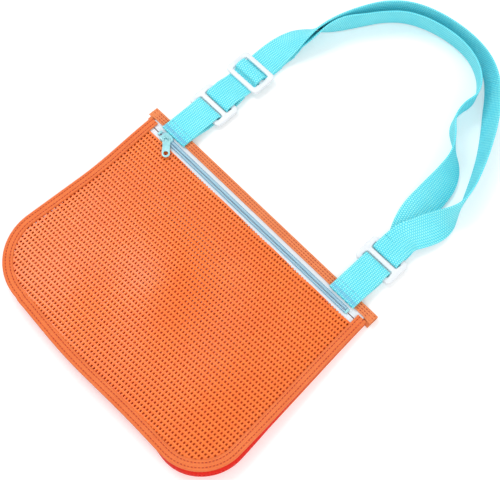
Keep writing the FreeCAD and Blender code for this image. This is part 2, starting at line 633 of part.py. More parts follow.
def free_webbing(label, first, last, route):
    """A layer of the free strap: flat at both ends, on edge between, made of flat facets."""
    start_x, start_y, start_z = first
    end_x, end_y, end_z = last
    points = [FreeCAD.Vector(start_x.value, start_y.value, 0)]
    points += [FreeCAD.Vector(x, y, 0) for x, y, turn in route]
    points += [FreeCAD.Vector(end_x.value, end_y.value, 0)]
    turns = [0.0] + [turn for x, y, turn in route] + [0.0]
    radii = []
    for before, corner, after in zip(points, points[1:], points[2:]):
        bend = (corner - before).getAngle(after - corner)
        shorter = min((corner - before).Length, (after - corner).Length)
        radii.append(ARC_SHARE * shorter / math.tan(bend / 2))
    print(label, "bend radii:", [round(radius) for radius in radii])
    pieces = rounded_line(points, radii)

    # Stations along the line, each with its direction and its share of the way between two points.
    stations = [(points[0], FreeCAD.Vector(0, 1, 0), 0.0)]
    arcs = [piece for piece in pieces if piece[0] == "arc"]
    for corner, piece in enumerate(arcs, start=1):
        centre, radius, turn = piece[3], piece[4], piece[5]
        arm = piece[1] - centre
        sign = 1 if arm.cross(piece[2] - centre).z > 0 else -1
        axis = FreeCAD.Vector(0, 0, sign)
        for step in range(ARC_STEPS + 1):
            swing = FreeCAD.Rotation(axis, math.degrees(turn) * step / ARC_STEPS)
            spoke = swing.multVec(arm)
            share = corner + ARC_SHARE * (2 * step / ARC_STEPS - 1)
            stations.append((centre + spoke, axis.cross(spoke).normalize(), share))
    stations.append((points[-1], FreeCAD.Vector(0, -1, 0), len(points) - 1.0))
    stations = split_twists(stations, turns)

    length = sum((after[0] - before[0]).Length for before, after in zip(stations, stations[1:]))
    half_width, half_thick = D.webbing_width.value / 2, D.webbing_thick.value / 2
    standing = D.strap_standing.value
    travelled = 0.0
    rings = []
    for number, (spot, ahead, share) in enumerate(stations):
        if number:
            travelled += (spot - stations[number - 1][0]).Length
        turn = math.radians(turn_at(turns, share))
        lying = start_z.value if travelled < length / 2 else end_z.value
        height = lying * math.cos(turn) + standing * math.sin(turn)
        ahead = FreeCAD.Vector(ahead.x, ahead.y, 0).normalize()
        inside = FreeCAD.Vector(ahead.y, -ahead.x, 0)
        across = inside * math.cos(turn) + FreeCAD.Vector(0, 0, math.sin(turn))
        through = ahead.cross(across)
        middle = FreeCAD.Vector(spot.x, spot.y, height)
        rings.append([middle + across * half_width * a + through * half_thick * b
                      for a, b in ((-1, -1), (1, -1), (1, 1), (-1, 1))])

    faces = [Part.Face(Part.makePolygon(ring + ring[:1])) for ring in (rings[0], rings[-1])]
    for one, two in zip(rings, rings[1:]):
        for k in range(4):
            a, b, c, d = one[k], one[(k + 1) % 4], two[(k + 1) % 4], two[k]
            faces.append(Part.Face(Part.makePolygon([a, b, c, a])))
            faces.append(Part.Face(Part.makePolygon([a, c, d, a])))
    solid = Part.Solid(Part.Shell(faces))
    if solid.Volume < 0:
        solid.reverse()
    section = D.webbing_width.value * D.webbing_thick.value
    print(label, f"length {length:.0f} mm, volume {solid.Volume / (section * length):.3f} of its section")
    item = keep(doc.addObject("Part::Feature", label), label)
    item.Shape = solid
    place(item)


TURN_END = STRAP_BAR_REACH + BAR_LEG
free_webbing("strap_outer", (-D.tab_centre, A_REACH + 20, TOP_LEVEL), (D.tab_centre, TURN_END, HIGH),
             OUTER_ROUTE)
free_webbing("strap_inner", (-D.tab_centre, LEAD_END, TAIL_LEVEL),
             (D.tab_centre, TURN_END, LOW), INNER_ROUTE)


# ---- check and write -------------------------------------------------------------------------

doc.recompute()
for item in doc.Objects:
    if "Invalid" in item.State or "Error" in item.State:
        raise RuntimeError(f"{item.Name} failed: {item.State}")
for label, item in nodes.items():
    if item.Shape.isNull() or not item.Shape.isValid() or len(item.Shape.Solids) != 1:
        raise RuntimeError(f"{label} has no valid single solid")

os.makedirs("parts", exist_ok=True)
for label, item in nodes.items():
    item.Shape.exportStep(f"parts/{label}.step")
print(f"{len(nodes)} pieces written; the top edge lies at Y = {SHIFT.value:.3f}")
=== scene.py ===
import json
import math

import bpy
from mathutils import Matrix, Vector


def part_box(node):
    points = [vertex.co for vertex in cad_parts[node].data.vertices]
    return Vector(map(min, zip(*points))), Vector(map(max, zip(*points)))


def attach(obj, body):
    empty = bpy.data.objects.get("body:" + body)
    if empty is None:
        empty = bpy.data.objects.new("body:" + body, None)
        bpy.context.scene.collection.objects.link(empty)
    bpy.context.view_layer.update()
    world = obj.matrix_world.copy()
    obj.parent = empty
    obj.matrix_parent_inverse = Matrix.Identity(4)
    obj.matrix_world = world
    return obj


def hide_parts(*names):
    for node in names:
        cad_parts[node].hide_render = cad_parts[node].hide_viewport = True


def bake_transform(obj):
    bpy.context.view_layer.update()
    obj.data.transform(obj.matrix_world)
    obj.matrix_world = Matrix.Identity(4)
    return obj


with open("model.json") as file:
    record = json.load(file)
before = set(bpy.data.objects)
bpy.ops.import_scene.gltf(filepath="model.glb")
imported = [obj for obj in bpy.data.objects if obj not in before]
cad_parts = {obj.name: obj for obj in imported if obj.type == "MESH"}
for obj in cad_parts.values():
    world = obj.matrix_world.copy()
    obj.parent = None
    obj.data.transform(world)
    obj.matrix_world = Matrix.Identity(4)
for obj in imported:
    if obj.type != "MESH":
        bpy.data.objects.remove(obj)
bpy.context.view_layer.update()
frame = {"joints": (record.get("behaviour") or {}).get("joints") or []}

bl_info = {
    "name": "Mesh Shoulder Bag",
    "version": (1, 0, 0),
    "blender": (4, 5, 0),
    "location": "3D View > Sidebar > Mesh Bag",
    "description": "Builds a zipped mesh bag with a webbing strap, and its stage",
    "category": "Add Mesh",
}

UP = Vector((0, 0, 1))

HEM_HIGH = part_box("top_hem")[1]
BACK_LOW, BACK_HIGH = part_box("back_panel")
TAPE_LOW, TAPE_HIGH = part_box("zipper_tape_lower")
SLIDER_LOW, SLIDER_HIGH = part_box("zipper_slider")
TOP_Y = BACK_HIGH.y                    # the bag's top edge
DEPTH = BACK_HIGH.y - BACK_LOW.y
FRONT_START = 0.0038                   # height of the front face at the top edge
SLOPE = 0.012 / 0.186                  # the front face rises towards the bottom
CORNER = 0.038
HALF_TOP = HEM_HIGH.x - 0.004          # half width at the top edge; the sides flare to the bottom
FLARE = 0.006
ZIP_DOWN = 0.0134                      # the zipper's line, below the top edge
TAB_X = 0.0945                         # middle of each tab and slide
RIM_STEPS = 420                        # rings round the rim in a binding


# ---- shapes of the bag ----

def ease(value):
    """Smooth step from 0 to 1."""
    value = min(max(value, 0.0), 1.0)
    return value * value * (3 - 2 * value)


def half_width(down, side=1):
    """Half width of the bag at a distance below the top edge; the left side hangs in a little."""
    share = down / DEPTH
    pull = 0.0026 * ease(down / 0.150) if side > 0 else -0.0058 * ease(down / 0.085)
    return HALF_TOP + FLARE * share + pull


def corner_of(side):
    """Radius of a bottom corner, and its circle's middle as x and distance below the top edge."""
    radius = CORNER if side > 0 else CORNER + 0.009
    down = DEPTH - radius
    return radius, side * (half_width(down, side) - radius), down


def bottom_of(x):
    """The bottom edge sags a little in the middle."""
    return DEPTH + 0.0030 * math.exp(-((x + 0.012) / 0.048) ** 2)


def swell(x, down):
    """How far the soft front panel rises above its flat plane."""
    across = max(0.0, 1 - (x / 0.112) ** 2)
    along = math.sin(math.pi * min(max((down - 0.020) / (DEPTH - 0.024), 0), 1))
    field = across * along
    waves = (0.0011 * math.sin(46 * x + 21 * down + 0.6)
             + 0.0009 * math.sin(-31 * x + 58 * down + 1.9)
             + 0.0006 * math.sin(83 * x - 44 * down))
    return field * (0.0022 + waves)


def front_z(x, down):
    """Height of the middle of the front mesh."""
    return FRONT_START + 0.0009 + SLOPE * down + swell(x, down)


def back_z(x, down):
    """Height of the middle of the back mesh."""
    return 0.0014


def tuck(spot):
    """How far the back's rim sits inside the front's, most at the bottom left."""
    return 0.0060 * ease((0.125 - spot.x) / 0.09) * ease((TOP_Y - spot.y - 0.03) / 0.09)


def rim_line(start_down, count=300):
    """The bag's outline from the left end of the hem round the bottom to the right end, as
    evenly spaced (point, inward direction) pairs in the XY plane."""
    rough = []
    for side in (-1, 1):
        radius, middle, level = corner_of(side)
        half = [(side * half_width(down, side), down)
                for down in (start_down + (level - start_down) * step / 40 for step in range(41))]
        for step in range(1, 25):
            angle = math.pi / 2 * step / 24
            half.append((middle + side * radius * math.cos(angle),
                         level + radius * math.sin(angle)))
        half += [(middle * (1 - step / 24), bottom_of(middle * (1 - step / 24)))
                 for step in range(1, 24)]
        rough += half if side < 0 else [(0.0, bottom_of(0.0))] + half[::-1]
    return spaced([Vector((x, TOP_Y - down, 0)) for x, down in rough], count)


def spaced(points, count):
    """Points at even distances along a line, each with the direction to its left."""
    lengths = [0.0]
    for one, two in zip(points, points[1:]):
        lengths.append(lengths[-1] + (two - one).length)
    even, index = [], 0
    for step in range(count + 1):
        want = lengths[-1] * step / count
        while index < len(points) - 2 and lengths[index + 1] < want:
            index += 1
        part = (want - lengths[index]) / (lengths[index + 1] - lengths[index])
        even.append(points[index].lerp(points[index + 1], part))
    found = []
    for step, point in enumerate(even):
        ahead = even[min(step + 1, count)] - even[max(step - 1, 0)]
        found.append((point, Vector((-ahead.y, ahead.x, 0)).normalized()))
    return found


# ---- mesh helpers ----

def deselect():
    if bpy.context.object and bpy.context.object.mode != "OBJECT":
        bpy.ops.object.mode_set(mode="OBJECT")
    bpy.ops.object.select_all(action="DESELECT")


def select_only(item):
    deselect()
    item.select_set(True)
    bpy.context.view_layer.objects.active = item


def finish_piece(item, material, body, replaces=(), smooth=40.0):
    """Name the finish and the body, and shade the piece."""
    item.data.materials.clear()
    item.data.materials.append(MATERIALS[material][0])
    select_only(item)
    bpy.ops.object.shade_smooth_by_angle(angle=math.radians(smooth))
    if body:
        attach(item, body)
    if replaces:
        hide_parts(*replaces)
    return item


def mesh_piece(name, points, faces, runs=None):
    """A new object from points and faces, with its run and width in the UV map named Run."""
    mesh = bpy.data.meshes.new(name)
    mesh.from_pydata([tuple(point) for point in points], [], faces)
    if runs:
        layer = mesh.uv_layers.new(name="Run")
        for loop in mesh.loops:
            layer.data[loop.index].uv = runs[loop.vertex_index]
    mesh.update()
    item = bpy.data.objects.new(name, mesh)
    bpy.context.scene.collection.objects.link(item)
    return item


def sweep(name, rings, widths):
    """A tube through closed rings of points. Run is metres along, and the given width across."""
    count = len(rings[0])
    points = [point for ring in rings for point in ring]
    faces, runs, along = [], [], 0.0
    middles = [sum(ring, Vector()) / count for ring in rings]
    for number, ring in enumerate(rings):
        if number:
            along += (middles[number] - middles[number - 1]).length
        runs += [(along, width) for width in widths]
    for number in range(len(rings) - 1):
        for k in range(count):
            here, ahead = number * count, (number + 1) * count
            faces.append((here + k, here + (k + 1) % count, ahead + (k + 1) % count, ahead + k))
    faces.append(tuple(reversed(range(count))))
    faces.append(tuple(range(len(points) - count, len(points))))
    item = mesh_piece(name, points, faces, runs)
    face_outwards(item)
    return item


def face_outwards(item):
    select_only(item)
    bpy.ops.object.mode_set(mode="EDIT")
    bpy.ops.mesh.select_all(action="SELECT")
    bpy.ops.mesh.normals_make_consistent(inside=False)
    bpy.ops.object.mode_set(mode="OBJECT")


def copies(name, pattern, places):
    """One mesh that repeats a small shape at (point, along, across, up), with sizes in them."""
    points, faces = [], []
    for spot, along, across, up in places:
        base = len(points)
        points += [spot + along * p.x + across * p.y + up * p.z for p in pattern[0]]
        faces += [tuple(base + k for k in face) for face in pattern[1]]
    return mesh_piece(name, points, faces)


def bead_pattern(segments=6, rings=4):
    """A small rounded bead one unit long, wide and high, as points and faces."""
    deselect()
    bpy.ops.mesh.primitive_uv_sphere_add(segments=segments, ring_count=rings, radius=0.5)
    item = bpy.context.object
    points = [vertex.co.zxy.copy() for vertex in item.data.vertices]
    faces = [tuple(polygon.vertices) for polygon in item.data.polygons]
    mesh = item.data
    bpy.data.objects.remove(item)
    bpy.data.meshes.remove(mesh)
    return points, faces


def spline_points(points, resolution=12):
    """Points along a smooth spline that has the given points as its control points."""
    curve = bpy.data.curves.new("route", "CURVE")
    curve.dimensions = "3D"
    curve.resolution_u = resolution
    spline = curve.splines.new("NURBS")
    spline.points.add(len(points) - 1)
    for knot, point in zip(spline.points, points):
        knot.co = (*point, 1)
    spline.order_u = 3
    spline.use_endpoint_u = True
    item = bpy.data.objects.new("route", curve)
    bpy.context.scene.collection.objects.link(item)
    bpy.context.view_layer.update()
    mesh = bpy.data.meshes.new_from_object(item)
    found = [vertex.co.copy() for vertex in mesh.vertices]
    bpy.data.objects.remove(item)
    bpy.data.curves.remove(curve)
    bpy.data.meshes.remove(mesh)
    return found


def flat_shape(name, outlines, thick, edge, place):
    """A flat plate with rounded edges from closed outlines, the first outside, the rest holes."""
    curve = bpy.data.curves.new(name, "CURVE")
    curve.dimensions = "2D"
    curve.fill_mode = "BOTH"
    curve.extrude = thick / 2 - edge
    curve.bevel_depth = edge
    curve.bevel_resolution = 3
    curve.offset = -edge
    for outline in outlines:
        spline = curve.splines.new("POLY")
        spline.points.add(len(outline) - 1)
        spline.use_cyclic_u = True
        for knot, (x, y) in zip(spline.points, outline):
            knot.co = (x, y, 0, 1)
    drawn = bpy.data.objects.new(name, curve)
    bpy.context.scene.collection.objects.link(drawn)
    select_only(drawn)
    bpy.ops.object.convert(target="MESH")
    item = bpy.context.object
    bpy.ops.object.mode_set(mode="EDIT")
    bpy.ops.mesh.select_all(action="SELECT")
    bpy.ops.mesh.remove_doubles(threshold=1e-6)
    bpy.ops.mesh.normals_make_consistent(inside=False)
    bpy.ops.object.mode_set(mode="OBJECT")
    item.data.transform(place)
    return item


def rounded_box(half_x, half_y, corner, steps=6, clockwise=False, middle=(0.0, 0.0)):
    """The outline of a rectangle with round corners."""
    points = []
    for turn, (sx, sy) in enumerate(((1, 1), (-1, 1), (-1, -1), (1, -1))):
        for step in range(steps + 1):
            angle = math.pi / 2 * (turn + step / steps)
            points.append((middle[0] + sx * (half_x - corner) + corner * math.cos(angle),
                           middle[1] + sy * (half_y - corner) + corner * math.sin(angle)))
    return points[::-1] if clockwise else points


def front(x, down, up):
    """A place in the tilted front face, up from the level of the zipper tapes' undersides."""
    tilt = math.atan(SLOPE)
    return Vector((x, TOP_Y - down * math.cos(tilt) + up * math.sin(tilt),
                   FRONT_START + up * math.cos(tilt) + down * math.sin(tilt)))


# ---- finishes ----

MATERIALS = {}


def shade(red, green, blue):
    """A display colour as the linear colour that a shader takes."""
    def linear(value):
        value /= 255
        return value / 12.92 if value <= 0.04045 else ((value + 0.055) / 1.055) ** 2.4
    return linear(red), linear(green), linear(blue)


def wire(tree, value, socket):
    """Link a socket, or set a plain value."""
    if isinstance(value, bpy.types.NodeSocket):
        tree.links.new(value, socket)
    elif value is not None:
        socket.default_value = value


def maths(tree, operation, first, second=None):
    node = tree.nodes.new("ShaderNodeMath")
    node.operation = operation
    wire(tree, first, node.inputs[0])
    wire(tree, second, node.inputs[1])
    return node.outputs[0]


def blend_colours(tree, share, one, two):
    node = tree.nodes.new("ShaderNodeMix")
    node.data_type = "RGBA"
    wire(tree, share, node.inputs[0])
    wire(tree, one if isinstance(one, bpy.types.NodeSocket) else (*one, 1), node.inputs[6])
    wire(tree, two if isinstance(two, bpy.types.NodeSocket) else (*two, 1), node.inputs[7])
    return node.outputs[2]


def noise(tree, scale, detail):
    """Soft random variation in object space; scale is in features per metre."""
    place = tree.nodes.new("ShaderNodeTexCoord")
    node = tree.nodes.new("ShaderNodeTexNoise")
    node.inputs["Scale"].default_value = scale
    node.inputs["Detail"].default_value = detail
    tree.links.new(place.outputs["Object"], node.inputs["Vector"])
    return node.outputs["Fac"]


def run_and_width(tree):
    uv = tree.nodes.new("ShaderNodeUVMap")
    uv.uv_map = "Run"
    split = tree.nodes.new("ShaderNodeSeparateXYZ")
    tree.links.new(uv.outputs["UV"], split.inputs[0])
    return split.outputs[0], split.outputs[1]


def bars(tree, value, pitch, shift=None):
    """Rounded bars from 0 to 1 at an even pitch."""
    turns = maths(tree, "MULTIPLY", value, 1 / pitch)
    if shift is not None:
        turns = maths(tree, "ADD", turns, shift)
    return maths(tree, "ABSOLUTE", maths(tree, "SINE", maths(tree, "MULTIPLY", turns, math.pi)))


def weave(row, column):
    """A plain weave: short rows across, each column shifted by half a row."""
    def height(tree):
        run, width = run_and_width(tree)
        number = maths(tree, "FLOOR", maths(tree, "MULTIPLY", width, 1 / column))
        rows = bars(tree, run, row, maths(tree, "MULTIPLY", number, 0.5))
        return maths(tree, "MULTIPLY", rows, maths(tree, "POWER", bars(tree, width, column), 0.6))
    return height


def ribs(pitch):
    """Ribs that run along a tape."""
    def height(tree):
        run, width = run_and_width(tree)
        cross = maths(tree, "MULTIPLY", bars(tree, run, pitch * 0.8), 0.35)
        return maths(tree, "ADD", maths(tree, "MULTIPLY", bars(tree, width, pitch), 0.65), cross)
    return height


def grain(scale):
    """A fine moulded or fibrous surface."""
    def height(tree):
        return noise(tree, scale, 5.0)
    return height


def surface(name, slot, light, dark, height, relief, rough, mottle=60.0, coat=0.0, gloss=0.5):
    """A finish: a height pattern bumps it and paints its hollows with the dark colour as shade;
    slow noise varies it.
    """
    material = bpy.data.materials.new(name)
    material.use_nodes = True
    tree = material.node_tree
    shader = tree.nodes["Principled BSDF"]
    pattern = height(tree)
    # The pattern's low parts take the dark colour: painted shade between threads and ribs; in the
    # grain patterns it is random tone.
    woven = blend_colours(tree, maths(tree, "MINIMUM", maths(tree, "MULTIPLY", pattern, 1.15), 1.0),
                          dark, light)
    slow = noise(tree, mottle, 2.0)
    shift = maths(tree, "MULTIPLY", maths(tree, "SUBTRACT", slow, 0.35), 0.5)
    tree.links.new(blend_colours(tree, shift, woven, dark), shader.inputs["Base Color"])
    roughness = maths(tree, "ADD", maths(tree, "MULTIPLY", slow, 0.16), rough - 0.08)
    tree.links.new(roughness, shader.inputs["Roughness"])
    bump = tree.nodes.new("ShaderNodeBump")
    bump.inputs["Strength"].default_value = 0.78
    bump.inputs["Distance"].default_value = relief
    tree.links.new(pattern, bump.inputs["Height"])
    tree.links.new(bump.outputs["Normal"], shader.inputs["Normal"])
    shader.inputs["Coat Weight"].default_value = coat
    shader.inputs["Coat Roughness"].default_value = 0.2
    shader.inputs["Specular IOR Level"].default_value = gloss
    MATERIALS[name] = (material, slot)


class MeshBagSizes(bpy.types.PropertyGroup):
    pitch_across: bpy.props.FloatProperty(
        name="Mesh pitch across", description="Distance between holes along a row of the mesh",
        default=0.0027, unit="LENGTH")
    pitch_down: bpy.props.FloatProperty(
        name="Mesh pitch down", description="Distance between two rows of the mesh",
        default=0.0036, unit="LENGTH")
    hole_share: bpy.props.FloatProperty(
        name="Hole share", description="Part of the pitch that is open, each way",
        default=0.50, subtype="FACTOR", min=0.2, max=0.8)
    mesh_thick: bpy.props.FloatProperty(
        name="Mesh thickness", description="Thickness of the coated yarns", default=0.0005,
        unit="LENGTH")
    row_skew: bpy.props.FloatProperty(
        name="Row skew", description="How far a row has climbed at the right side",
        default=0.016, unit="LENGTH")
    webbing_width: bpy.props.FloatProperty(
        name="Webbing width", description="Width of the strap and tabs", default=0.025,
        unit="LENGTH")
    webbing_thick: bpy.props.FloatProperty(
        name="Webbing thickness", description="Thickness of the strap and tabs", default=0.0014,
        unit="LENGTH")
    stitch_pitch: bpy.props.FloatProperty(
        name="Stitch pitch", description="Distance between stitches", default=0.0026,
        unit="LENGTH")
    tooth_pitch: bpy.props.FloatProperty(
        name="Tooth pitch", description="Distance between the coil's turns", default=0.0013,
        unit="LENGTH")


class MeshBagColours(bpy.types.PropertyGroup):
    mesh: bpy.props.FloatVectorProperty(
        name="Mesh", description="Colour of the bag's mesh", subtype="COLOR", size=3,
        default=shade(255, 140, 56))
    # The gusset's deep red is painted shade: the side wall lies in shade under the front panel and
    # is lit only through the orange mesh.
    gusset: bpy.props.FloatVectorProperty(
        name="Gusset", description="Colour of the side mesh", subtype="COLOR", size=3,
        default=shade(240, 34, 8))
    binding: bpy.props.FloatVectorProperty(
        name="Binding", description="Colour of the edge binding", subtype="COLOR", size=3,
        default=shade(252, 140, 76))
    hem: bpy.props.FloatVectorProperty(
        name="Hem", description="Colour of the hem along the top", subtype="COLOR", size=3,
        default=shade(250, 160, 102))
    webbing: bpy.props.FloatVectorProperty(
        name="Webbing", description="Colour of the strap", subtype="COLOR", size=3,
        default=shade(166, 255, 255))
    slides: bpy.props.FloatVectorProperty(
        name="Slides", description="Colour of the moulded slides", subtype="COLOR", size=3,
        default=shade(240, 243, 246))


class MESHBAG_OT_finishes(bpy.types.Operator):
    """Make the bag's finishes"""
    bl_idname = "meshbag.finishes"
    bl_label = "Finishes"

    def execute(self, context):
        colours = context.scene.meshbag_colours
        deep = shade(238, 88, 24)
        surface("coated_mesh", "mesh", tuple(colours.mesh), deep, grain(700), 0.00012, 0.30,
                mottle=26, coat=0.06, gloss=0.35)
        # The back mesh finish is a darker, redder copy of the coated mesh: painted shade for the
        # inside of the bag, seen through the front's holes.
        surface("coated_mesh_back_painted_shade", "mesh", shade(255, 112, 36), shade(238, 62, 12), grain(700),
                0.00012, 0.36, mottle=26, gloss=0.25)
        # Deep red gusset finish: painted shade of the orange mesh in the side wall.
        surface("gusset_mesh", "gusset_mesh", tuple(colours.gusset), shade(204, 14, 4), grain(700),
                0.00012, 0.5, mottle=40, gloss=0.15)
        # The dark colours of the ribbed and woven finishes below are painted shade in the hollows
        # between ribs and threads.
        surface("edge_binding", "binding", tuple(colours.binding), shade(214, 72, 24), ribs(0.0009),
                0.00034, 0.6, gloss=0.3)
        surface("hem_tape", "hem", tuple(colours.hem), shade(216, 84, 38), ribs(0.0009), 0.00034,
                0.6, gloss=0.3)
        surface("zipper_tape", "zipper_tape", shade(250, 251, 252), shade(212, 226, 238),
                weave(0.0006, 0.0007), 0.00012, 0.7)
        surface("zipper_coil", "zipper_coil", shade(212, 240, 250), shade(168, 212, 232),
                grain(900), 0.00005, 0.3, mottle=300)
        surface("zipper_thread", "zipper_coil", shade(112, 170, 204), shade(80, 140, 180),
                grain(1500), 0.0001, 0.6)
        surface("zipper_paint", "zipper_hardware", shade(176, 232, 236), shade(120, 196, 206),
                grain(500), 0.00003, 0.26, coat=0.3)
        surface("webbing", "webbing", tuple(colours.webbing), shade(34, 214, 240),
                weave(0.0016, 0.0021), 0.0005, 0.62, gloss=0.3)
        surface("webbing_thread", "webbing", shade(150, 206, 236), shade(90, 160, 208), grain(1500),
                0.0001, 0.6)
        surface("orange_thread", "binding", shade(204, 60, 24), shade(150, 34, 14), grain(1500),
                0.0001, 0.6)
        surface("moulded_white", "slides", tuple(colours.slides), shade(222, 228, 233), grain(420),
                0.00004, 0.34, mottle=90, coat=0.1)
        return {"FINISHED"}


# ---- stage ----

class MESHBAG_OT_stage(bpy.types.Operator):
    """Add the camera, the pale floor and the soft lights"""
    bl_idname = "meshbag.stage"
    bl_label = "Stage"

    def execute(self, context):
        scene = context.scene
        scene.view_settings.view_transform = "Standard"
        turn, lift, reach = math.radians(46.1), math.radians(68.0), 0.781
        back = Vector((math.sin(turn) * math.cos(lift), -math.cos(turn) * math.cos(lift),
                       math.sin(lift)))
        target = Vector((0.011, TOP_Y - 0.024, 0))
        bpy.ops.object.camera_add(location=target + back * reach)
        camera = context.object
        camera.rotation_euler = back.to_track_quat("Z", "Y").to_euler()
        camera.data.lens = 72
        camera.data.sensor_width = 36
        scene.camera = camera

        bpy.ops.mesh.primitive_plane_add(size=6, location=(0, 0, 0))
        floor = context.object
        floor.name = "pale_floor"
        material = bpy.data.materials.new("pale_floor")
        material.use_nodes = True
        tree = material.node_tree
        shader = tree.nodes["Principled BSDF"]
        shader.inputs["Base Color"].default_value = (0.93, 0.93, 0.93, 1)
        shader.inputs["Roughness"].default_value = 0.9
        path = tree.nodes.new("ShaderNodeLightPath")
        seen = maths(tree, "MAXIMUM", path.outputs["Is Camera Ray"],
                     maths(tree, "MAXIMUM", path.outputs["Is Glossy Ray"],
                           path.outputs["Is Transmission Ray"]))
        glow = tree.nodes.new("ShaderNodeEmission")
        tree.links.new(maths(tree, "MULTIPLY", seen, 0.2), glow.inputs["Strength"])
        both = tree.nodes.new("ShaderNodeAddShader")
        tree.links.new(shader.outputs[0], both.inputs[0])
        tree.links.new(glow.outputs[0], both.inputs[1])
        tree.links.new(both.outputs[0], tree.nodes["Material Output"].inputs["Surface"])
        floor.data.materials.append(material)

        world = bpy.data.worlds.new("studio")
        world.use_nodes = True
        world.node_tree.nodes["Background"].inputs["Color"].default_value = (1, 1, 1, 1)
        world.node_tree.nodes["Background"].inputs["Strength"].default_value = 0.68
        scene.world = world
        for spot, size, power in (((-0.8, 0.05, 1.2), 0.6, 7.5), ((0.85, -0.35, 0.75), 1.0, 4.5),
                                  ((-0.42, 0.48, 1.15), 0.25, 0.8)):
            bpy.ops.object.light_add(type="AREA", location=spot)
            lamp = context.object
            lamp.data.size = size
            lamp.data.energy = power
            lamp.rotation_euler = Vector(spot).to_track_quat("Z", "Y").to_euler()
        return {"FINISHED"}


# ---- webbing ----

# The webbing's section: share of the half width, share of the half thickness.
WEBBING_SECTION = [
    (-1, 0), (-0.985, -0.7), (-0.94, -1), (-0.5, -1), (0, -1), (0.5, -1), (0.94, -1),
    (0.985, -0.7), (1, 0), (0.985, 0.7), (0.94, 1), (0.5, 1), (0, 1), (-0.5, 1), (-0.94, 1),
    (-0.985, 0.7)]

# Middle line of each free layer from the adjuster to the right slide: metres from the top edge's
# middle, height, and the webbing's turn in degrees, 0 flat and 90 on edge.
OUTER_ROUTE = [
    (-0.0945, 0.098, 0.0040, 0), (-0.0945, 0.107, 0.0042, 1), (-0.0925, 0.120, 0.0074, 14),
    (-0.0885, 0.134, 0.0122, 40), (-0.0825, 0.149, 0.0141, 70), (-0.0755, 0.165, 0.0135, 86),
    (-0.0675, 0.183, 0.0133, 90), (-0.0585, 0.1995, 0.0133, 90), (-0.0440, 0.214, 0.0133, 90),
    (-0.0240, 0.223, 0.0133, 90), (0.0000, 0.227, 0.0133, 91), (0.0225, 0.2265, 0.0132, 92),
    (0.0415, 0.2205, 0.0130, 97), (0.0565, 0.208, 0.0124, 108), (0.0680, 0.193, 0.0120, 113),
    (0.0780, 0.179, 0.0121, 112), (0.0875, 0.163, 0.0124, 107), (0.0960, 0.146, 0.0126, 104),
    (0.1045, 0.125, 0.0127, 100), (0.1095, 0.108, 0.0134, 90), (0.1085, 0.090, 0.0112, 44),
    (0.1002, 0.0725, 0.0078, 4), (0.0947, 0.0625, 0.0073, 0), (0.0945, 0.0523, 0.00725, 0)]
INNER_ROUTE = [
    (-0.0945, 0.118, 0.00095, 0), (-0.0925, 0.1265, 0.0034, 12), (-0.0848, 0.1378, 0.0094, 42),
    (-0.0788, 0.1516, 0.0127, 72), (-0.0726, 0.1648, 0.0131, 85), (-0.0620, 0.181, 0.0129, 80),
    (-0.0530, 0.195, 0.0127, 77), (-0.0405, 0.208, 0.0127, 77), (-0.0220, 0.2165, 0.0127, 77),
    (-0.0005, 0.2205, 0.0127, 77), (0.0195, 0.2195, 0.0127, 78), (0.0360, 0.2125, 0.0130, 82),
    (0.0475, 0.202, 0.0133, 88), (0.0535, 0.189, 0.0132, 94), (0.0505, 0.175, 0.0132, 95),
    (0.0540, 0.160, 0.0133, 92), (0.0670, 0.149, 0.0133, 86), (0.0785, 0.137, 0.0128, 64),
    (0.0840, 0.121, 0.0100, 38), (0.0850, 0.105, 0.0060, 18), (0.0850, 0.086, 0.0026, 5),
    (0.0890, 0.0725, 0.0013, 0), (0.0943, 0.0625, 0.00115, 0), (0.0945, 0.0523, 0.00115, 0)]


def webbing_piece(name, points, across, replaced, body="strap"):
    """Webbing along a line of points, with the direction across it at each."""
    sizes = bpy.context.scene.meshbag_sizes
    half, thin = sizes.webbing_width / 2, sizes.webbing_thick / 2
    rings = []
    for number, point in enumerate(points):
        ahead = points[min(number + 1, len(points) - 1)] - points[max(number - 1, 0)]
        ahead.normalize()
        side = (across[number] - ahead * across[number].dot(ahead)).normalized()
        through = ahead.cross(side)
        rings.append([point + side * half * a + through * thin * b for a, b in WEBBING_SECTION])
    item = sweep(name, rings, [half * (1 + a) for a, b in WEBBING_SECTION])
    return finish_piece(item, "webbing", body, replaced)


def free_layer(name, route, replaced):
    """One layer of the free strap, twisted from flat to on edge along its spline."""
    points = [Vector(p) for p in spline_points([(x, TOP_Y + y, z) for x, y, z, turn in route])]
    turns = [p[0] * 100 for p in spline_points([(turn / 100, 0, 0) for x, y, z, turn in route])]
    across = []
    for number in range(len(points)):
        ahead = points[min(number + 1, len(points) - 1)] - points[max(number - 1, 0)]
        inside = Vector((ahead.y, -ahead.x, 0)).normalized()
        turn = math.radians(turns[number])
        across.append(inside * math.cos(turn) + UP * math.sin(turn))
    item = webbing_piece(name, points, across, replaced)
    return item


class MESHBAG_OT_free_strap(bpy.types.Operator):
    """Lay the strap's two free layers"""
    bl_idname = "meshbag.free_strap"
    bl_label = "Free Strap"

    def execute(self, context):
        free_layer("strap_outer_layer", OUTER_ROUTE, ["strap_outer"])
        free_layer("strap_inner_layer", INNER_ROUTE, ["strap_inner"])
        return {"FINISHED"}


def folded(name, x, path, replaced, body):
    """Webbing in a plane along the bag's depth. Its path is in mm: beyond the top edge, height."""
    line = [(x, TOP_Y + y / 1000, z / 1000) for y, z in path]
    points = [Vector(p) for p in spline_points(line, 16)]
    return webbing_piece(name, points, [Vector((1, 0, 0))] * len(points), replaced, body)


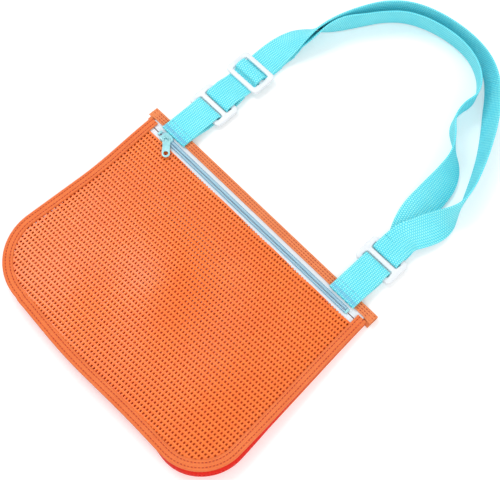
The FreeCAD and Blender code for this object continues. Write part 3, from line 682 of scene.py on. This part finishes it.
class MESHBAG_OT_strap_ends(bpy.types.Operator):
    """Fold the strap round the slides, and the two tabs on the hem"""
    bl_idname = "meshbag.strap_ends"
    bl_label = "Strap Ends and Tabs"

    def execute(self, context):
        left, right = -TAB_X, TAB_X
        tab = [(-8.7, 6.95), (-3, 6.65), (3, 6.2), (9, 4.8), (16, 2.5), (20.5, 1.3), (23.25, 1.15),
               (32.4, 1.15), (32.4, 7.25), (23.25, 7.25), (18, 7.4), (9, 7.75), (2, 7.85),
               (-4, 8.1), (-8.7, 8.4)]
        folded("left_tab", left, tab, ["strap_tab_left"], "bag")
        folded("right_tab", right, tab, ["strap_tab_right"], "bag")
        rear = folded("strap_sewn_end", left,
                      [(60.1, 3.3), (56, 2.4), (52.5, 1.2), (49.15, 1.15), (40.0, 1.15),
                       (40.0, 7.25), (49.15, 7.25), (53.7, 7.25), (60, 5.2), (66, 3.95),
                       (69.6, 3.95), (73.45, 6.4), (73.45, 11.35), (78, 11.35)],
                      ["strap_end_loop", "strap_over_adjuster"], None)
        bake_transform(rear)
        ahead = folded("strap_past_adjuster", left,
                       [(78, 11.35), (82.55, 11.35), (82.55, 6.4), (86.4, 3.95), (90, 3.95),
                        (98, 3.95)],
                       [], None)
        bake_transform(ahead)
        inner = folded("strap_adjuster_loop", left,
                       [(103, 0.95), (94, 0.95), (86, 0.95), (82.6, 1.1), (79.5, 3.4),
                        (74.95, 3.75), (74.95, 9.85), (81.05, 9.85), (81.05, 6.0), (84.6, 2.5),
                        (90, 2.45), (105, 2.45), (110, 2.3), (114, 1.0), (118, 0.95)],
                       ["adjuster_loop", "strap_lead"], None)
        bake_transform(inner)
        folded("strap_turn_right", right,
               [(52.25, 7.25), (49.15, 7.25), (40.0, 7.25), (40.0, 1.15), (49.15, 1.15),
                (52.25, 1.15)], ["strap_turn"], "strap")
        return {"FINISHED"}


# ---- mesh panels ----

def net(name, columns, rows, place, keep, material, replaced, cut=None, open_share=None):
    """A knitted mesh: a grid whose cells are inset and opened, laid in place and thickened.
    place turns grid shares into a point, keep says which points stay, and cut is a straight upper
    edge's distance below the top edge."""
    sizes = bpy.context.scene.meshbag_sizes
    deselect()
    bpy.ops.mesh.primitive_grid_add(x_subdivisions=columns, y_subdivisions=rows, size=1)
    item = bpy.context.object
    item.name = item.data.name = name
    bpy.ops.object.mode_set(mode="EDIT")
    bpy.ops.mesh.select_all(action="SELECT")
    bpy.ops.transform.resize(value=(columns, rows, 1))
    bpy.ops.mesh.select_mode(type="FACE")
    bpy.ops.mesh.select_all(action="SELECT")
    bpy.ops.mesh.inset(thickness=(1 - (open_share or sizes.hole_share)) / 2, use_individual=True)
    bpy.ops.mesh.delete(type="FACE")
    bpy.ops.object.mode_set(mode="OBJECT")
    doomed = []
    for vertex in item.data.vertices:
        u, v = vertex.co.x + columns / 2, vertex.co.y + rows / 2
        knot = abs(u - round(u)) < 0.02 and abs(v - round(v)) < 0.02
        spot, up = place(u / columns, v / rows)
        vertex.co = spot + up * (0.00014 if knot else -0.00010)
        doomed.append(not keep(spot))
    select_only(item)
    bpy.ops.object.mode_set(mode="EDIT")
    bpy.ops.mesh.select_mode(type="VERT")
    bpy.ops.mesh.select_all(action="DESELECT")
    bpy.ops.object.mode_set(mode="OBJECT")
    for vertex, gone in zip(item.data.vertices, doomed):
        vertex.select = gone
    bpy.ops.object.mode_set(mode="EDIT")
    bpy.ops.mesh.delete(type="VERT")
    if cut is not None:
        bpy.ops.mesh.select_all(action="SELECT")
        bpy.ops.mesh.bisect(plane_co=(0, TOP_Y - cut, 0), plane_no=(0, 1, 0), clear_outer=True,
                            use_fill=False)
    bpy.ops.object.mode_set(mode="OBJECT")
    thicken = item.modifiers.new("thicken", "SOLIDIFY")
    thicken.thickness = sizes.mesh_thick
    thicken.offset = 0
    bpy.ops.object.modifier_apply(modifier=thicken.name)
    return finish_piece(item, material, "bag", replaced, smooth=75)


def panel_place(height, top):
    """Rows climb to the right and their ends follow the bag's flared sides."""
    skew = bpy.context.scene.meshbag_sizes.row_skew

    def place(across, along):
        down = top + (DEPTH + 0.004 - top + skew) * (1 - along) - skew * across ** 1.6
        left, right = -half_width(down, -1) - 0.001, half_width(down, 1) + 0.001
        x = left + (right - left) * across
        return Vector((x, TOP_Y - down, height(x, down))), UP
    return place


def inside_rim(inset):
    def keep(spot):
        side, down = (1 if spot.x > 0 else -1), TOP_Y - spot.y
        if down > bottom_of(spot.x) - inset or abs(spot.x) > half_width(down, side) - inset:
            return False
        radius, middle, level = corner_of(side)
        over_x, over_down = (spot.x - middle) * side, down - level
        return not (over_x > 0 and over_down > 0 and math.hypot(over_x, over_down) > radius - inset)
    return keep


class MESHBAG_OT_panels(bpy.types.Operator):
    """Knit the front and back mesh panels"""
    bl_idname = "meshbag.panels"
    bl_label = "Mesh Panels"

    def execute(self, context):
        sizes = context.scene.meshbag_sizes
        columns = round(2 * (HALF_TOP + FLARE / 2) / sizes.pitch_across)
        mouth = 0.0179
        rows = round((DEPTH - mouth + sizes.row_skew) / sizes.pitch_down)
        front_mesh = net("front_mesh", columns, rows, panel_place(front_z, mouth - 0.003),
                         inside_rim(0.004), "coated_mesh", ["front_panel"], mouth)
        rows = round((DEPTH - 0.004 + sizes.row_skew) / sizes.pitch_down)
        # The back mesh takes the darkened copy of the mesh finish, painted shade.
        back_mesh = net("back_mesh", columns, rows, panel_place(back_z, 0.001),
                        inside_rim(0.004), "coated_mesh_back_painted_shade", ["back_panel"], 0.003, 0.30)
        return {"FINISHED"}


class MESHBAG_OT_gusset(bpy.types.Operator):
    """Knit the mesh wall between the two panels"""
    bl_idname = "meshbag.gusset"
    bl_label = "Gusset"

    def execute(self, context):
        sizes = context.scene.meshbag_sizes
        count = 216
        rim = rim_line(0.0089, count)

        def place(across, along):
            step = min(across * count, count - 1e-6)
            low = int(step)
            spot = rim[low][0].lerp(rim[low + 1][0], step - low)
            inward = rim[low][1].lerp(rim[low + 1][1], step - low).normalized()
            down = TOP_Y - spot.y
            top = FRONT_START + SLOPE * down + 0.0006
            full = ease((spot.x - 0.05) / 0.06)
            most = 0.0004 + full * (0.0010 + 0.0026 * ease((down - 0.07) / 0.1))
            bulge = most * math.sin(math.pi * along)
            base = spot + inward * (0.0014 + tuck(spot) * (1 - along) - bulge)
            return Vector((base.x, base.y, 0.0012 + (top - 0.0012) * along)), -inward

        wall = net("side_gusset_mesh", count, 4, place, lambda spot: True, "gusset_mesh",
                   ["side_gusset"], open_share=0.3)
        return {"FINISHED"}


# ---- bindings and hem ----

# Profiles in millimetres: inward from the rim (or beyond the top edge, for the hem), and height.
FRONT_BAND = [
    (7.6, 1.25), (7.65, 1.8), (7.3, 2.25), (6.6, 2.4), (5.7, 2.25), (5.3, 1.85), (4.9, 2.25),
    (4.0, 2.5), (2.9, 2.4), (2.3, 2.25), (1.9, 1.85), (1.5, 2.25), (0.7, 2.5), (0.0, 2.35),
    (-0.45, 1.7), (-0.6, 0.7), (-0.55, -0.5), (-0.4, -1.3), (-0.1, -1.3), (0.0, 0.2), (0.7, 1.1),
    (2.0, 1.25)]
BACK_BAND = [
    (9.0, 0.05), (9.0, 0.75), (8.5, 0.95), (2.0, 1.0), (0.6, 1.2), (-0.2, 1.25), (-0.7, 0.95),
    (-0.85, 0.5), (-0.6, 0.1), (0.0, 0.0)]
HEM_BAND = [
    (-8.9, 0.25), (-5.0, 0.1), (0.0, 0.2), (0.8, 0.7), (1.2, 1.8), (1.2, 3.7), (0.8, 4.9),
    (0.2, 5.5), (-0.6, 5.75), (-1.2, 5.3), (-1.8, 5.75), (-2.8, 5.95), (-3.4, 5.5), (-4.0, 5.95),
    (-4.9, 6.1), (-5.5, 5.65), (-6.1, 6.1), (-6.8, 6.2), (-7.3, 5.85), (-7.2, 5.3), (-4.0, 4.9),
    (-0.5, 4.4), (-0.1, 3.4), (-0.1, 2.2), (-0.7, 1.4), (-8.9, 1.0)]


def lengths_along(profile):
    total, found = 0.0, []
    for number, (a, b) in enumerate(profile):
        if number:
            total += math.hypot(a - profile[number - 1][0], b - profile[number - 1][1]) / 1000
        found.append(total)
    return found


def front_plane(spot):
    return FRONT_START + SLOPE * (TOP_Y - spot.y)


def puckered(along, amount):
    """Small even puckers that stitching leaves along an edge."""
    return amount * (math.sin(along * 620) + 0.6 * math.sin(along * 211 + 1.3))


def band(name, profile, start_down, base, material, replaced, tucked=False):
    """A binding swept round the rim."""
    rings = []
    for number, (point, inward) in enumerate(rim_line(start_down, RIM_STEPS)):
        ring = []
        for d, h in profile:
            spot = point + inward * (d / 1000 + (tuck(point) if tucked else 0))
            lift = puckered(number * 0.00135, 0.00007) if d > 0 and h > 1 else 0
            ring.append(Vector((spot.x, spot.y, base(spot) + h / 1000 + lift)))
        rings.append(ring)
    item = sweep(name, rings, lengths_along(profile))
    return finish_piece(item, material, "bag", replaced, smooth=60)


class MESHBAG_OT_bindings(bpy.types.Operator):
    """Bind the rims of the two panels, with two rows of stitches on the front"""
    bl_idname = "meshbag.bindings"
    bl_label = "Edge Bindings"

    def execute(self, context):
        band("front_edge_binding", FRONT_BAND, 0.0090, front_plane, "edge_binding",
             ["front_binding"])
        band("back_edge_binding", BACK_BAND, 0.0090, lambda spot: 0.0, "edge_binding",
             ["back_binding"], tucked=True)
        bead = bead_pattern()
        pitch = context.scene.meshbag_sizes.stitch_pitch
        places = []
        for inset in (0.0019, 0.0053):
            rim = rim_line(0.0100, 2000)
            line = [Vector((p.x, p.y, 0)) + inward * inset for p, inward in rim]
            length = sum((two - one).length for one, two in zip(line, line[1:]))
            for point, inward in spaced(line, round(length / pitch)):
                ahead = Vector((inward.y, -inward.x, 0))
                spot = Vector((point.x, point.y, front_plane(point) + 0.00205))
                places.append((spot, ahead * pitch * 0.66, inward * 0.0009, UP * 0.0006))
        finish_piece(copies("binding_stitches", bead, places), "orange_thread", "bag")
        return {"FINISHED"}


class MESHBAG_OT_hem(bpy.types.Operator):
    """Fold the hem along the top edge and stitch it"""
    bl_idname = "meshbag.hem"
    bl_label = "Hem"

    def execute(self, context):
        rings, end = [], HEM_HIGH.x
        for step in range(125):
            x = -end + 2 * end * step / 124
            near = ease(1 - (end - abs(x)) / 0.009)          # the folded ends stand a little proud
            ring = []
            for y, z in HEM_BAND:
                top = ease((z - 4.6) / 0.8)
                bottom = ease((-2.0 - y) / 6)
                lift = top * (near * (0.0004 + 0.00045 * math.sin((end - abs(x)) * 1900))
                              + puckered(x, 0.00006))
                ring.append(Vector((x, TOP_Y + y / 1000 - near * 0.0012 * bottom, z / 1000 + lift)))
            rings.append(ring)
        finish_piece(sweep("hem_band", rings, lengths_along(HEM_BAND)), "hem_tape", "bag",
                     ["top_hem"], smooth=60)
        bead = bead_pattern()
        pitch = context.scene.meshbag_sizes.stitch_pitch
        places = []
        for y, z in ((-1.2, 5.45), (-3.4, 5.65), (-5.5, 5.8)):
            count = round(2 * (end - 0.002) / pitch)
            for step in range(count + 1):
                x = -end + 0.002 + (2 * end - 0.004) * step / count
                if abs(abs(x) - TAB_X) > 0.0126:
                    spot = Vector((x, TOP_Y + y / 1000, z / 1000))
                    places.append((spot, Vector((pitch * 0.66, 0, 0)), Vector((0, 0.0009, 0)),
                                   UP * 0.0006))
        finish_piece(copies("hem_stitches", bead, places), "orange_thread", "bag")
        return {"FINISHED"}


# ---- zipper ----

def front_turn():
    """The turn of the tilted front face."""
    return Matrix.Rotation(-math.atan(SLOPE), 4, "X")


def tape(name, high, low, replaced):
    """A zipper tape between two distances below the top edge, with a thicker woven edge."""
    rings = []
    for step in range(81):
        x = TAPE_LOW.x + (TAPE_HIGH.x - TAPE_LOW.x) * step / 80
        ring = []
        for share, up in ((0, 0.05), (0, 0.45), (0.08, 0.62), (0.2, 0.5), (0.5, 0.5), (0.8, 0.5),
                          (0.92, 0.62), (1, 0.45), (1, 0.05), (0.5, 0.0)):
            ring.append(front(x, high + (low - high) * share,
                              up / 1000 + 0.00008 * math.sin(x * 130 + share * 4)))
        rings.append(ring)
    width = abs(low - high)
    item = sweep(name, rings, [width * share for share in (0, 0.05, 0.1, 0.2, 0.5, 0.8, 0.9, 1,
                                                           0.95, 0.5)])
    return finish_piece(item, "zipper_tape", "bag", replaced, smooth=50)


class MESHBAG_OT_zipper(bpy.types.Operator):
    """Lay the two zipper tapes, the coil's turns and its thread lines, and the stops"""
    bl_idname = "meshbag.zipper"
    bl_label = "Zipper"

    def execute(self, context):
        tape("tape_upper", 0.0059, 0.0130, ["zipper_tape_upper"])
        tape("tape_lower", 0.0138, 0.0185, ["zipper_tape_lower"])
        pitch = context.scene.meshbag_sizes.tooth_pitch
        bead = bead_pattern(8, 4)
        across = front(0, 1.0, 0) - front(0, 0.0, 0)
        above = front(0, 0, 1.0) - front(0, 0, 0)
        count = int(0.2070 / pitch)
        for name, middle, shift, node in (("coil_upper", 0.01205, 0.0, "zipper_coil_upper"),
                                          ("coil_lower", 0.01475, 0.5, "zipper_coil_lower")):
            places = []
            for step in range(count):
                x = -0.1035 + pitch * (step + 0.5 + shift)
                places.append((front(x, middle, 0.00125), Vector((pitch * 0.92, 0, 0)),
                               across * 0.0030, above * 0.0016))
            finish_piece(copies(name, bead, places), "zipper_coil", "bag", [node], smooth=60)
        small = bead_pattern(6, 4)
        places = []
        for down, wide in ((0.01115, 0.00050), (ZIP_DOWN, 0.00055), (0.01565, 0.00050)):
            for step in range(round(0.207 / 0.0021)):
                x = -0.1032 + 0.0021 * (step + 0.5)
                places.append((front(x, down, 0.00205), Vector((0.0023, 0, 0)), across * wide,
                               above * 0.0005))
        finish_piece(copies("coil_threads", small, places), "zipper_thread", "bag")
        for node in ("zipper_stop_left", "zipper_stop_right"):
            low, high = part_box(node)
            deselect()
            bpy.ops.mesh.primitive_cube_add(size=1, location=(low + high) / 2,
                                            scale=(high.x - low.x, high.y - low.y - 0.0006, 0.0019))
            stop = bpy.context.object
            stop.name = stop.data.name = node.replace("zipper", "coil")
            bpy.ops.object.transform_apply(location=True, rotation=True, scale=True)
            bpy.ops.object.mode_set(mode="EDIT")
            bpy.ops.mesh.select_all(action="SELECT")
            bpy.ops.mesh.bevel(offset=0.0005, segments=3)
            bpy.ops.object.mode_set(mode="OBJECT")
            finish_piece(stop, "zipper_paint", "bag", [node], smooth=50)
        return {"FINISHED"}


class MESHBAG_OT_slider(bpy.types.Operator):
    """Make the zipper's slider and the pull that hangs from its bridge"""
    bl_idname = "meshbag.slider"
    bl_label = "Slider and Pull"

    def execute(self, context):
        x, down = (SLIDER_LOW.x + SLIDER_HIGH.x) / 2, ZIP_DOWN
        shield = [(-0.0050, 0.0024), (-0.0044, 0.0036), (-0.0030, 0.0042), (0.0012, 0.0042),
                  (0.0036, 0.0036), (0.0048, 0.0026), (0.0050, 0.0016)]
        shield += [(along, -half) for along, half in reversed(shield)]
        parts = []
        for level, thick in ((0.0027, 0.0009), (-0.0007, 0.0007)):
            place = Matrix.Translation(front(x, down, level)) @ front_turn()
            parts.append(flat_shape("plate", [shield[::-1]], thick, 0.00025, place))
        for side in (-1, 1):
            deselect()
            bpy.ops.mesh.primitive_cube_add(size=1, scale=(0.0058, 0.0007, 0.0032))
            wall = bpy.context.object
            bpy.ops.object.transform_apply(location=True, rotation=True, scale=True)
            wall.data.transform(Matrix.Translation(front(x - 0.0006, down + side * 0.0038, 0.0010))
                                @ front_turn())
            parts.append(wall)
        deselect()
        bpy.ops.mesh.primitive_torus_add(major_segments=36, minor_segments=12, major_radius=0.00225,
                                         minor_radius=0.00050)
        bridge = bpy.context.object
        bridge.data.transform(Matrix.Diagonal((1, 0.98, 1.3, 1)))
        bridge.data.transform(Matrix.Rotation(math.pi / 2, 4, "X"))
        bridge.data.transform(Matrix.Translation(front(x, down, 0.0031)) @ front_turn())
        parts.append(bridge)
        deselect()
        for part in parts:
            part.select_set(True)
        bpy.context.view_layer.objects.active = parts[0]
        bpy.ops.object.join()
        slider = bpy.context.object
        slider.name = slider.data.name = "slider_body"
        finish_piece(slider, "zipper_paint", "zip_slider", ["zipper_slider"], smooth=45)

        hinge = Vector(next(joint["pos_m"] for joint in frame["joints"]
                            if joint["name"] == "pull_hinge"))
        outline = [(-0.0006, -0.0023), (-0.0002, -0.0030), (0.0044, -0.0033), (0.0070, -0.0030),
                   (0.0110, -0.0031)]
        for step in range(13):
            angle = -math.pi / 2 + math.pi * step / 12
            outline.append((0.0145 + 0.0035 * math.cos(angle), 0.0034 * math.sin(angle)))
        outline += [(a, -b) for a, b in reversed(outline[:5])]
        eye = rounded_box(0.00165, 0.0021, 0.0006, 4, True, (0.0022, 0.0))
        hole = [(0.0144 + 0.0019 * math.cos(angle), 0.0019 * math.sin(angle))
                for angle in (-2 * math.pi * step / 20 for step in range(20))]
        place = (Matrix.Translation(hinge) @ front_turn()
                 @ Matrix.Rotation(math.radians(-45), 4, "Z"))
        pull = flat_shape("pull_tag", [outline, eye, hole], 0.0011, 0.0003, place)
        finish_piece(pull, "zipper_paint", "pull", ["zipper_pull"], smooth=45)
        return {"FINISHED"}


# ---- slides ----

class MESHBAG_OT_slides(bpy.types.Operator):
    """Mould the three flat slides, each with two slots"""
    bl_idname = "meshbag.slides"
    bl_label = "Slides"

    def execute(self, context):
        for name, node, body in (("slide_left", "left_end_slide", "left_slide"),
                                 ("slide_right", "right_end_slide", "right_slide"),
                                 ("slide_adjuster", "adjuster_slide", "adjuster")):
            low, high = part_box(node)
            half = (high - low) / 2
            outlines = [rounded_box(half.x, half.y, 0.0040, 8)]
            for side in (-1, 1):
                outlines.append(rounded_box(0.0130, 0.00285, 0.0012, 4, True,
                                            (0.0, side * 0.00495)))
            item = flat_shape(name, outlines, high.z - low.z, 0.0010,
                              Matrix.Translation((low + high) / 2))
            finish_piece(item, "moulded_white", body, [node], smooth=50)
        return {"FINISHED"}


# ---- stitching on the webbing ----

class MESHBAG_OT_webbing_stitches(bpy.types.Operator):
    """Sew the two tabs to the hem with a bar tack and two rows of stitches"""
    bl_idname = "meshbag.webbing_stitches"
    bl_label = "Webbing Stitches"

    def execute(self, context):
        bead = bead_pattern(8, 4)
        places = []
        for middle in (-TAB_X, TAB_X):
            for step in range(19):                                  # dense bar tack at the cut end
                x = middle - 0.0115 + 0.023 * step / 18
                places.append((Vector((x, TOP_Y - 0.0062, 0.00905)), Vector((0.0007, 0, 0)),
                               Vector((0.0002, 0.0042, 0)), UP * 0.0006))
            for y, shift in ((-0.0026, 0.0), (0.0006, 0.5)):        # two looser rows
                for step in range(9):
                    x = middle - 0.0105 + 0.0026 * (step + shift * 0.5)
                    places.append((Vector((x, TOP_Y + y, 0.00885 - 0.00003 * y * 1000)),
                                   Vector((0.0016, 0, 0)), Vector((0, 0.0006, 0)), UP * 0.0005))
        finish_piece(copies("tab_stitches", bead, places), "webbing_thread", "bag")
        return {"FINISHED"}


# ---- panel and run ----

STEPS = (MESHBAG_OT_finishes, MESHBAG_OT_stage, MESHBAG_OT_free_strap, MESHBAG_OT_strap_ends,
         MESHBAG_OT_panels, MESHBAG_OT_gusset, MESHBAG_OT_bindings, MESHBAG_OT_hem,
         MESHBAG_OT_zipper, MESHBAG_OT_slider, MESHBAG_OT_slides, MESHBAG_OT_webbing_stitches)


class MESHBAG_PT_panel(bpy.types.Panel):
    """Sizes, colours and steps of the mesh bag"""
    bl_idname = "MESHBAG_PT_panel"
    bl_label = "Mesh Shoulder Bag"
    bl_space_type = "VIEW_3D"
    bl_region_type = "UI"
    bl_category = "Mesh Bag"

    def draw(self, context):
        for group in (context.scene.meshbag_sizes, context.scene.meshbag_colours):
            box = self.layout.box()
            for name in group.__annotations__:
                box.prop(group, name)
        for step in STEPS:
            self.layout.operator(step.bl_idname)


CLASSES = (MeshBagSizes, MeshBagColours, *STEPS, MESHBAG_PT_panel)


def register():
    for item in CLASSES:
        bpy.utils.register_class(item)
    bpy.types.Scene.meshbag_sizes = bpy.props.PointerProperty(type=MeshBagSizes)
    bpy.types.Scene.meshbag_colours = bpy.props.PointerProperty(type=MeshBagColours)


def unregister():
    del bpy.types.Scene.meshbag_colours
    del bpy.types.Scene.meshbag_sizes
    for item in reversed(CLASSES):
        bpy.utils.unregister_class(item)


def main():
    register()
    bpy.ops.meshbag.finishes()
    bpy.ops.meshbag.stage()
    bpy.ops.meshbag.free_strap()
    bpy.ops.meshbag.strap_ends()
    bpy.ops.meshbag.panels()
    bpy.ops.meshbag.gusset()
    bpy.ops.meshbag.bindings()
    bpy.ops.meshbag.hem()
    bpy.ops.meshbag.zipper()
    bpy.ops.meshbag.slider()
    bpy.ops.meshbag.slides()
    bpy.ops.meshbag.webbing_stitches()


if __name__ == "__main__":
    main()
